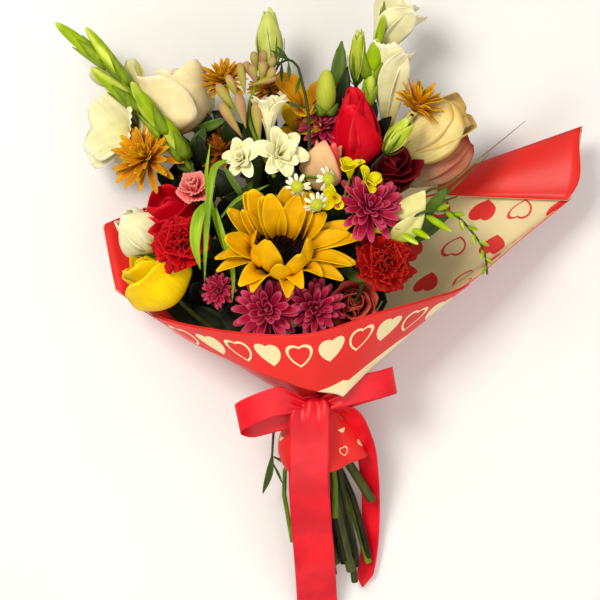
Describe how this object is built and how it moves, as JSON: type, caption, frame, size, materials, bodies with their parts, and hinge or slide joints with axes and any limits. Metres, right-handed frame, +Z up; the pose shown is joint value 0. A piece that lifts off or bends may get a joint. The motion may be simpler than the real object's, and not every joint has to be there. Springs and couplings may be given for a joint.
{
  "type": "mixed flower bouquet",
  "caption": "Hand-tied bouquet of mixed cut flowers in printed wrapping paper with a satin ribbon bow, lying on its back.",
  "frame": {"origin": "middle of the outline on the surface that the bouquet lies on", "axes": "+Z up from the surface, +Y from the cut stems towards the flower heads, +X to the right seen from above with the heads away from the viewer"},
  "size_m": [0.4762, 0.6189, 0.1885],
  "materials": {
    "petal_yellow": "matte petal",
    "petal_gold": "matte petal",
    "petal_bronze": "matte petal",
    "petal_red": "velvet petal",
    "petal_burgundy": "velvet petal",
    "petal_magenta": "matte petal",
    "petal_pink": "matte petal",
    "petal_dusty": "matte petal",
    "petal_orange": "matte petal",
    "petal_cream": "matte petal",
    "petal_white": "matte petal",
    "bud_green": "waxy bud",
    "stem_green": "waxy stem and leaf",
    "disc_brown": "velvety florets",
    "wrapping_paper": "satin paper, red outside and cream inside with a print of hearts",
    "ribbon": "satin",
    "twine": "rough twine"
  },
  "bodies": {
    "root": {"rose_yellow": "petal_yellow", "rose_white_bud": "petal_white", "rose_red_left": "petal_red", "carnation_red": "petal_red", "carnation_pink": "petal_pink", "mum_bronze_left": "petal_bronze", "rose_cream": "petal_cream", "mum_bronze_top": "petal_bronze", "mum_bronze_shaded": "petal_bronze", "mum_bronze_middle": "petal_bronze", "alstroemeria_upper": "petal_gold", "alstroemeria_lower": "petal_yellow", "mum_bronze_right": "petal_bronze", "rose_red_upright": "petal_red", "rose_two_tone": "petal_dusty", "rose_burgundy": "petal_burgundy", "mum_magenta_right": "petal_magenta", "mum_magenta_upper": "petal_magenta", "mum_magenta_front": "petal_magenta", "mum_magenta_low": "petal_magenta", "mum_magenta_small": "petal_magenta", "carnation_orange": "petal_orange", "rose_dusty": "petal_dusty", "lisianthus_cream": "petal_cream", "lisianthus_dusty": "petal_dusty", "lisianthus_pale": "petal_cream", "lisianthus_bud_top": "petal_white", "lisianthus_bud_tall": "petal_white", "lisianthus_bud_right": "petal_cream", "sunflower_petals": "petal_yellow", "sunflower_disc": "disc_brown", "tuberose": "petal_white", "freesia_florets": "petal_yellow", "freesia_buds": "bud_green", "feverfew": "petal_white", "stems_and_leaves": "stem_green", "gladiolus_left": "bud_green", "gladiolus_left_floret_upper": "petal_white", "gladiolus_left_floret_lower": "petal_white", "gladiolus_right": "bud_green", "gladiolus_right_floret_upper": "petal_white", "gladiolus_right_floret_lower": "petal_white", "wrapping_paper": "wrapping_paper", "wrapping_paper_collar": "wrapping_paper", "binding_twine": "twine", "satin_ribbon": "ribbon"}
  },
  "joints": []
}
